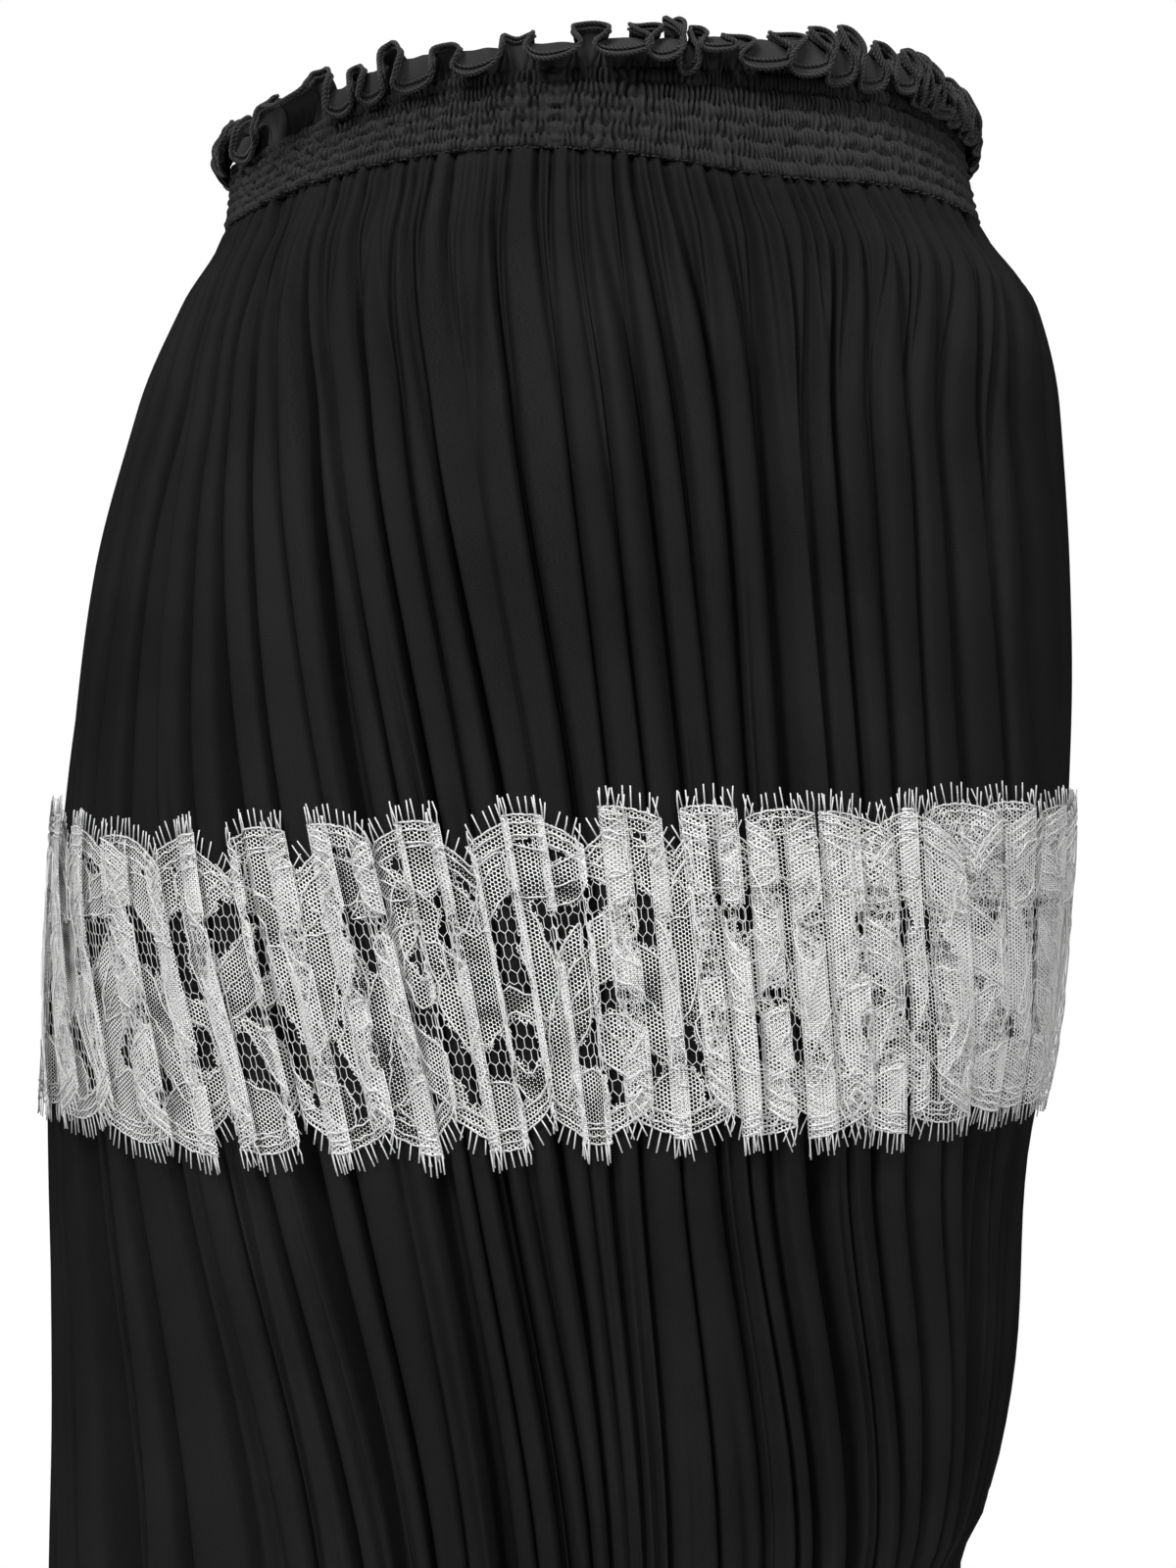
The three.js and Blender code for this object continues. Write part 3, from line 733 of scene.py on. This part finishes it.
def ruffle_surface(rise):
    """The heading at each height of rise, 0 at the band to 1 at its free edge. Up from the band the cloth
    turns over outwards on an arc, a little where the edge's meander loops up and nearly upside down where
    a loop hangs, and spreads sideways from even gathers to the meander. Loops are uneven in roll and
    lean, longest at the left side and shorter at the left and the middle of the back. The foot is sunk
    into the band."""
    s, along, hang, wave = ruffle_meander()
    rise = rise[:, None]
    turned = TURN * s / RUFFLE_WAVES
    away = from_back(np.degrees(turned))
    side = np.abs(np.sin(turned)) ** 4
    weak = np.maximum(uneven(wave, 32), 0) * (0.45 - 0.35 * np.sin(turned))
    roll = ROLL_UP + (ROLL_DOWN * (1.04 - weak) - ROLL_UP) * hang**0.9
    corners = np.arange(RUFFLE_WAVES + 1)
    stand, tip = (np.interp(s, corners, uneven(corners % RUFFLE_WAVES, seed)) for seed in (34, 35))
    roll = roll + 0.75 * (1 - hang) * tip
    bend = roll * ease((rise - 0.2) / 0.55)
    end = bell(away, -86, 14)
    longer = RUFFLE_LONGER * (1 + 0.25 * uneven(wave, 33)) + 26.0 * end + 4.5 * bell(away, 45, 30)
    shorter = 0.22 * bell(away, -58, 23) + 0.1 * bell(away, 5, 22)
    length = (RUFFLE_CLOTH + longer * hang) * (1 + 0.2 * stand * (1 - hang)) * (1 - shorter)
    step = np.diff(rise, axis=0) * length
    between = (bend[1:] + bend[:-1]) / 2
    up = np.concatenate([0 * bend[:1], np.cumsum(step * np.cos(between), axis=0)])
    out = np.concatenate([0 * bend[:1], np.cumsum(step * np.sin(between), axis=0)])
    held = ease(rise / 0.12)
    gathers = held * np.exp(-rise / 0.8) * 1.15 * np.sin(TURN * 6 * s + 1.5 * np.sin(TURN * s))
    crown = 2.0 * rise**2 * np.maximum(np.cos(TURN * s), 0) ** 1.5 * (1 + 0.6 * stand)
    base = np.interp(s, np.arange(RUFFLE_WAVES + 1), np.append(along[::RUFFLE_SAMPLES], 1.0))
    spread = ease(rise * 1.25) ** 1.1
    lean = 0.0028 * np.sin(turned - 0.3) + 0.0018 * np.sin(8 * turned)
    place = base + (along - base) * spread * 1.12 + lean * hang * rise**2
    z = band_top(360 * base) - 1.6 + up + crown
    return 360 * place, z, 1.3 * held + RUFFLE_FOOT + out * (0.85 - 0.2 * side + 0.25 * end) + gathers


def ruffle_pieces():
    """The heading's cloth and the lines of thread that bind its free edge."""
    rise = np.linspace(0, 1, RUFFLE_ROWS)
    angle, z, out = ruffle_surface(rise)
    points = outline_point(angle, z, out)[::-1]
    edge_length = np.concatenate([[0], np.cumsum(np.linalg.norm(np.diff(points[0], axis=0), axis=1))])
    across = np.append(edge_length, edge_length[-1] + edge_length[1])
    uv = np.stack(np.broadcast_arrays(across[None], RUFFLE_CLOTH * rise[::-1, None]), axis=-1)
    cloth = grid_piece("ruffle_heading", points, uv, wrap=True)
    finish_piece(cloth, BLACK_SHIRRING, "black_shirring", "waist_ruffle")
    columns = points.shape[1]
    across_way = np.roll(points, -1, axis=1) - np.roll(points, 1, axis=1)
    down_way = np.gradient(points, axis=0)
    normal = np.cross(down_way, across_way)
    normal /= np.maximum(np.linalg.norm(normal, axis=2, keepdims=True), 1e-9)
    edge = tubes("ruffle_overlock", points[0], normal[0], [columns], [True], 0.75, 5)
    finish_piece(edge, BLACK_EDGE, "black_shirring")
    inner_row = points[1] + (points[2] - points[1]) * 0.25
    paths = np.concatenate([inner_row + normal[1] * 0.3, inner_row - normal[1] * 0.3])
    normals = np.concatenate([normal[1], normal[1]])
    rows = tubes("ruffle_edge_rows", paths, normals, [columns] * 2, [True] * 2, 0.62, 4)
    finish_piece(rows, BLACK_EDGE, "black_shirring")


# Lace

LACE_SAMPLES = 24
LACE_ROWS = 36
LACE_PERIOD = 126.0
LACE_CREST = 3.0
LACE_RECESS = 0.37
LACE_FOLD = 8.0
LACE_DENSER = 0.8
LACE_CLEARANCE = 0.9
SCALLOP_WIDTH = 63.0
SCALLOP_RISE = 17.0
TOP_SCALLOP_SHIFT = 21.0
BORDER = 7.0
CELL_WIDTH = 2.7
CELL_HEIGHT = 5.4
CORD_STEP = 2.2
NET_THREAD = 0.14
CORD_THREAD = 0.29
LASH_THREAD = 0.26
LASH_PITCH = 2.5
LASH_LENGTH = 5.8
REACH_LOW = -360.0
REACH_STEP = 6.0
REACH_ROWS = 24
REACH_PLACES = 720

# Closed motifs in one repeat: middle along and up the lace, half length, half width, lean in degrees,
# how pointed the ends are and what share of it is an open window.
MOTIFS = np.array([
    (20, 38, 30, 10, 68, 0.9, 0),
    (40, 56, 26, 8, 38, 0.9, 0),
    (62, 66, 19, 13, 82, 0.5, 0.58),
    (31, 14, 14, 9, 0, 0.5, 0),
    (55, 28, 22, 8, -38, 0.9, 0),
    (93, 14, 15, 9, 6, 0.5, 0),
    (82, 42, 28, 9, 115, 0.9, 0),
    (101, 55, 25, 10, 74, 0.8, 0),
    (10, 86, 13, 8, -12, 0.5, 0),
    (72, 89, 12, 7, 12, 0.5, 0),
    (29, 82, 15, 6, 28, 0.9, 0),
    (50, 86, 13, 5, -28, 0.9, 0),
    (91, 80, 17, 7, -42, 0.8, 0),
    (113, 80, 16, 7, 48, 0.9, 0),
    (119, 34, 17, 11, 96, 0.5, 0.55),
    (6, 60, 20, 8, 104, 0.8, 0),
], float)


def cloth_reach():
    """How far out the black cloth lies at each half degree round the skirt, at heights REACH_STEP apart
    from REACH_LOW up, which is the part behind the lace: the most at it and at the places beside it."""
    reach = np.full((REACH_ROWS, REACH_PLACES), -20.0)
    t = np.arange(FOLD_COUNT * 48) / 48
    for row in range(REACH_ROWS):
        angle, out = fold_surface(t, REACH_LOW + REACH_STEP * row)
        np.maximum.at(reach[row], np.round(2 * angle).astype(int) % REACH_PLACES, out)
    return np.maximum(reach, np.maximum(np.roll(reach, 1, axis=1), np.roll(reach, -1, axis=1)))


REACH = cloth_reach()


def cloth_out(angle, z):
    """The black cloth's distance out behind the lace, between the places of REACH."""
    row = np.clip((z - REACH_LOW) / REACH_STEP, 0, REACH_ROWS - 1.01)
    column = np.mod(2 * angle, REACH_PLACES)
    r, c = np.floor(row).astype(int), np.floor(column).astype(int) % REACH_PLACES
    beside = (c + 1) % REACH_PLACES
    share = column - np.floor(column)
    low = REACH[r, c] + (REACH[r, beside] - REACH[r, c]) * share
    high = REACH[r + 1, c] + (REACH[r + 1, beside] - REACH[r + 1, c]) * share
    return low + (high - low) * (row - r)


def lace_surface(t, z):
    """The lace's angle and distance out at t, counted in valleys, and height z. Near a valley a sine of
    more than the full strength takes the lace back under itself, so that it lies in a knife pleat with its
    right edge in front. It is deepest, by a cosine to the fourth power, where the next pleat comes out
    from under that edge, and less so at the left. It stays outside the cloth."""
    t, z = np.broadcast_arrays(np.asarray(t, float), np.asarray(z, float))
    k = np.round(t).astype(int)
    u = t - k
    fold = np.mod(k, FOLD_COUNT)
    tight = np.clip(2.8 + 1.2 * uneven(fold, 51) + 1.0 * ((fold > 19) & (fold < 32)), 1.5, 4.4)
    w = u - tight * np.sin(TURN * u) / TURN
    here = valley_angle(k, z)
    after, before = valley_angle(k + 1, z) - here, here - valley_angle(k - 1, z)
    angle = here + w * np.where(w > 0, after, before)
    recess = np.round(t - LACE_RECESS)
    deep = LACE_FOLD * (1 + 0.25 * uneven(np.mod(recess, FOLD_COUNT), 53))
    away = from_back(angle)
    deep = deep * (1 - 0.6 * ease((-away - 30) / 30) * ease((150 + away) / 30))
    crest = LACE_CREST - np.sin(np.radians(angle)) ** 4
    out = crest - deep * np.cos(math.pi * (t - LACE_RECESS - recess)) ** 4
    sway = 0.5 * np.sin(z / 21 + 1.9 * k) * np.sin(TURN * u) + 0.35 * np.sin(z / 13 + 0.7 * k)
    return angle, np.maximum(out + sway, cloth_out(angle, z) + LACE_CLEARANCE)


def lace_middle(angle):
    """Height of the lace's middle, which sags at the left and rises at the right."""
    away = from_back(angle)
    rise = 3.0 * bell(away, 70, 28) - 8.0 * bell(away, -38, 25)
    return LACE_MIDDLE_Z + rise + 1.2 * np.sin(np.radians(9 * away))


def lace_foot(along):
    """Height of the foot edge above the deepest lobe: the root of a sine over each scallop."""
    return SCALLOP_RISE * (1 - np.abs(np.sin(math.pi * along / SCALLOP_WIDTH)) ** 0.7)


def lace_top(along):
    """Height of the upper edge, scalloped as the foot is but out of step with it."""
    return LACE_HEIGHT - lace_foot(along + TOP_SCALLOP_SHIFT)


def waviness(turn, x, y):
    """How far a motif's outline lies out at each angle round its middle, about 1."""
    return 1 + 0.07 * np.sin(5 * turn + x) + 0.05 * np.sin(8 * turn + y) + 0.03 * np.sin(13 * turn + x + y)


def motif_distance(along, up):
    """Rough distance in millimetres from a place on the flat lace to the nearest motif or border,
    below 0 inside. A motif is its half width times one less its squared length, to a power, made wavy."""
    nearest = np.minimum(up - lace_foot(along), lace_top(along) - up) - BORDER
    for x, y, half, wide, lean, point, window in MOTIFS:
        c, s = math.cos(math.radians(lean)), math.sin(math.radians(lean))
        dx = (along - x + LACE_PERIOD / 2) % LACE_PERIOD - LACE_PERIOD / 2
        a, b = (dx * c + (up - y) * s) / half, (-dx * s + (up - y) * c) / wide
        wavy = waviness(np.arctan2(b, a), x, y)
        a, b = a / wavy, b / wavy
        edge = np.abs(b) - np.maximum(1 - a**2, 0) ** point + np.maximum(np.abs(a) - 1, 0) * half / wide
        shape = edge * wide
        if window:
            shape = np.maximum(shape, (window - np.hypot(a, b)) * wide)
        nearest = np.minimum(nearest, shape)
    return nearest


class LaceFlat:
    """Turns places on the flat lace into points on the pleated one."""

    def __init__(self):
        share = np.arange(LACE_SAMPLES) / LACE_SAMPLES
        steps = (np.arange(FOLD_COUNT)[:, None] + share + 0.035 * np.sin(2 * TURN * share)).ravel()
        self.closed = np.append(steps, steps[0] + FOLD_COUNT) + 0.5
        length_at = arc_length(self.closed, LACE_MIDDLE_Z, lace_surface)
        self.length = length_at[-1]
        self.repeats = round(self.length / LACE_PERIOD)
        self.along = length_at * self.repeats * LACE_PERIOD / self.length
        self.total = self.repeats * LACE_PERIOD

    def points(self, along, up, lift=0.0):
        turns = np.floor(along / self.total)
        t = np.interp(along - turns * self.total, self.along, self.closed) + turns * FOLD_COUNT
        z = lace_middle(valley_at(t, LACE_MIDDLE_Z)) + up - LACE_HEIGHT / 2
        angle, out = lace_surface(t, z)
        return outline_point(angle, z, out + lift)


def lace_sheet(flat):
    """The lace's fine net, one sheet all round, with how far each point is from a motif."""
    along = flat.along[None]
    share = np.linspace(1, 0, LACE_ROWS)[:, None]
    up = lace_foot(along) + (lace_top(along) - lace_foot(along)) * share
    points = flat.points(along[:, :-1] + 0 * up[:, :-1], up[:, :-1])
    uv = np.stack([along + 0 * up, up], axis=-1)
    away = from_back(valley_at(flat.closed, LACE_MIDDLE_Z))
    denser = LACE_DENSER * ease((away - 4) / 14) * ease((110 - away) / 20)
    fill = (motif_distance(along, up) - denser)[:, :-1]
    piece = grid_piece("lace_net", points, uv, wrap=True, values={"fill": fill})
    finish_piece(piece, LACE_NET, "white_lace", "lace_band")
    return piece


def thread_frames(flat, along, up, lift):
    """Points on the lace and the directions out from it there."""
    points = flat.points(along, up, lift)
    normals = flat.points(along, up, lift + 1.0) - points
    return points, normals / np.linalg.norm(normals, axis=1, keepdims=True)


def window_net(flat):
    """Threads of the open windows: the sides of hexagons taller than wide, each a three-sided prism. A
    side is made where its middle lies outside the motifs."""
    columns, rows = round(flat.total / CELL_WIDTH), math.ceil(LACE_HEIGHT / CELL_HEIGHT * 4 / 3) + 2
    wide = flat.total / columns
    c, r = np.meshgrid(np.arange(columns), np.arange(rows), indexing="ij")
    x = (c + 0.5 * (r % 2)) * wide
    y = r * CELL_HEIGHT * 0.75
    jog = 0.16 * CELL_WIDTH
    low = np.stack([x + jog * uneven(c * 7 + r, 61), y + jog * uneven(c * 5 + r * 3, 62)], axis=-1)
    high = low + np.stack([0 * x, 0.5 * CELL_HEIGHT + 0 * y], axis=-1)
    sides = [np.stack([low, high], axis=2)]
    for step in (0, -1):
        shift = np.where(r % 2 == 1, step + 1, step)
        other_low = np.take_along_axis(np.roll(low, -1, axis=1), (c + shift)[..., None] % columns, axis=0)
        other_low = other_low + np.stack([flat.total * np.floor((c + shift) / columns), 0 * x], axis=-1)
        sides.append(np.stack([high, other_low], axis=2)[:, :-1])
    ends = np.concatenate([side.reshape(-1, 2, 2) for side in sides])
    middle = ends.mean(axis=1)
    keep = (motif_distance(middle[:, 0], middle[:, 1]) > -0.2) & (middle[:, 1] > 4) & (middle[:, 1] < 100)
    ends = ends[keep]
    points, normals = thread_frames(flat, ends[..., 0].ravel(), ends[..., 1].ravel(), 0.0)
    piece = short_threads("lace_window_net", points, normals, 2, NET_THREAD, 3, caps=False)
    return finish_piece(piece, LACE_CORD, "white_lace")


def repeated(flat, along, up, closed):
    """A line on one repeat, laid out on every repeat, with each copy's count and whether it is closed."""
    starts = np.arange(flat.repeats)[:, None] * LACE_PERIOD
    counts = [len(along)] * flat.repeats
    return (along + starts).ravel(), np.tile(up, flat.repeats), counts, [closed] * flat.repeats


def lace_cords(flat):
    """Raised cords round the motifs and windows, along the leaves' middles and in rows along both edges."""
    parts = []
    for x, y, half, wide, lean, point, window in MOTIFS:
        c, s = math.cos(math.radians(lean)), math.sin(math.radians(lean))
        for scale in ([1.0, window] if window else [1.0]):
            count = round(4.2 * half * scale / CORD_STEP)
            turn = TURN * np.arange(count) / count
            a = scale * np.cos(turn)
            b = scale * np.sign(np.sin(turn)) * np.abs(np.sin(turn)) ** (2 * point if scale == 1 else 1)
            wavy = waviness(np.arctan2(b, a), x, y)
            a, b = a * half * wavy, b * wide * wavy
            parts.append(repeated(flat, x + a * c - b * s, y + a * s + b * c, True))
        if point > 0.85:
            a = np.linspace(-0.8, 0.75, round(1.55 * half / CORD_STEP)) * half
            b = 1.2 * np.sin(a / half * 4 + x) + 0.5 * np.sin(a * 1.1 + y)
            parts.append(repeated(flat, x + a * c - b * s, y + a * s + b * c, False))
    count = round(flat.total / CORD_STEP)
    steps = np.arange(count) * flat.total / count
    for inset in (0.4, 2.9, 6.8):
        wave = 0.35 * np.sin(TURN * steps / 5.1 + inset)
        parts.append((steps, lace_foot(steps) + inset + wave, [count], [True]))
        parts.append((steps, lace_top(steps) - inset - wave, [count], [True]))
    along = np.concatenate([part[0] for part in parts])
    up = np.concatenate([part[1] for part in parts])
    up = np.clip(up, lace_foot(along) + 0.3, lace_top(along) - 0.3)
    counts = sum((part[2] for part in parts), [])
    closed = sum((part[3] for part in parts), [])
    points, normals = thread_frames(flat, along, up, 0.25)
    piece = tubes("lace_cords", points, normals, counts, closed, CORD_THREAD)
    return finish_piece(piece, LACE_CORD, "white_lace")


def eyelashes(flat, name, edge, way, node):
    """A fringe of straight threads square to a scalloped edge, a little fanned and uneven."""
    count = round(flat.total / LASH_PITCH)
    n = np.arange(count)
    along = (n + 0.25 * uneven(n, 71)) * flat.total / count
    slope = edge(along + 0.5) - edge(along - 0.5)
    tilt = np.clip(-slope * way, -1.2, 1.2) * 0.55 + 0.12 * uneven(n, 72)
    long = LASH_LENGTH * (1 + 0.18 * uneven(n, 73))
    share = np.array([-0.1, 0.5, 1.0])[:, None]
    lash_along = along + share * long * np.sin(tilt)
    up = edge(along) + way * share * long * np.cos(tilt)
    points, normals = thread_frames(flat, lash_along.T.ravel(), up.T.ravel(), 0.1)
    piece = short_threads(name, points, normals, 3, LASH_THREAD, 3)
    return finish_piece(piece, LACE_CORD, "white_lace", node)


def lace_pieces():
    """The galloon's net with its threads."""
    flat = LaceFlat()
    sheet = lace_sheet(flat)
    threads = [
        window_net(flat),
        lace_cords(flat),
        eyelashes(flat, "eyelashes_top", lace_top, 1, "lace_eyelash_top"),
        eyelashes(flat, "eyelashes_foot", lace_foot, -1, "lace_eyelash_foot"),
    ]


# Stage, in metres

FLOOR_Z = -1.03
FLOOR_HALF, FLOOR_NEAR, FLOOR_FAR = 1.6, -2.4, 1.25
SURROUND = 0.05
LIGHT_AIM = (0.0, 0.0, -0.25)
LIGHTS = (
    ("left", (-1.15, -1.8, 1.5), 0.7, 58.0),
    ("right", (1.45, -1.6, 1.2), 0.7, 24.0),
    ("front", (-0.1, -1.6, 1.9), 0.6, 28.0),
    ("behind", (0.3, 2.2, 1.2), 1.4, 24.0),
)
FOCAL_PIXELS = 2052
PHOTO_HEIGHT = 1600
SENSOR = 36
CAMERA_PLACE = (0.0, -0.760, -0.248)
CAMERA_PITCH = 1.67


def stage():
    """A plain pale floor, a surround that is white to the camera and dim to the cloth, soft lights, and
    the camera at the photo's place."""
    scene = bpy.context.scene
    world = bpy.data.worlds.new("studio")
    world.use_nodes = True
    tree = world.node_tree
    backdrop = tree.nodes["Background"]
    backdrop.inputs["Color"].default_value = (1, 1, 1, 1)
    seen = tree.nodes.new("ShaderNodeLightPath")
    strength = tree.nodes.new("ShaderNodeMix")
    strength.inputs["A"].default_value = SURROUND
    strength.inputs["B"].default_value = 1.0
    tree.links.new(seen.outputs["Is Camera Ray"], strength.inputs["Factor"])
    tree.links.new(strength.outputs["Result"], backdrop.inputs["Strength"])
    scene.world = world
    scene.view_settings.view_transform = "Standard"
    floor = bpy.data.meshes.new("floor")
    corners = [(-FLOOR_HALF, FLOOR_NEAR), (FLOOR_HALF, FLOOR_NEAR), (FLOOR_HALF, FLOOR_FAR),
               (-FLOOR_HALF, FLOOR_FAR)]
    floor.from_pydata([(x, y, FLOOR_Z) for x, y in corners], [], [(0, 1, 2, 3)])
    floor_piece = bpy.data.objects.new("floor", floor)
    scene.collection.objects.link(floor_piece)
    floor.materials.append(new_material("floor", (0.9, 0.9, 0.9), 0.9)[0])
    for name, place, size, power in LIGHTS:
        light = bpy.data.lights.new(name, "AREA")
        light.shape = "DISK"
        light.size = size
        light.energy = power
        lamp = bpy.data.objects.new(name, light)
        lamp.location = place
        x, y, z = np.array(LIGHT_AIM) - np.array(place)
        lamp.rotation_euler = (math.atan2(math.hypot(x, y), -z), 0, math.atan2(-x, y))
        scene.collection.objects.link(lamp)
    camera = bpy.data.cameras.new("camera")
    camera.sensor_width = SENSOR
    camera.lens = SENSOR * FOCAL_PIXELS / PHOTO_HEIGHT
    holder = bpy.data.objects.new("camera", camera)
    holder.location = CAMERA_PLACE
    holder.rotation_euler = (math.radians(90 + CAMERA_PITCH), 0, 0)
    scene.collection.objects.link(holder)
    scene.camera = holder


stage()
panel_piece("skirt_panel_right", BACK_SEAM, FRONT_SEAM, "panel_right")
panel_piece("skirt_panel_left", FRONT_SEAM, BACK_SEAM + FOLD_COUNT, "panel_left")
waistband_piece()
foot_stitches()
ruffle_pieces()
lace_pieces()
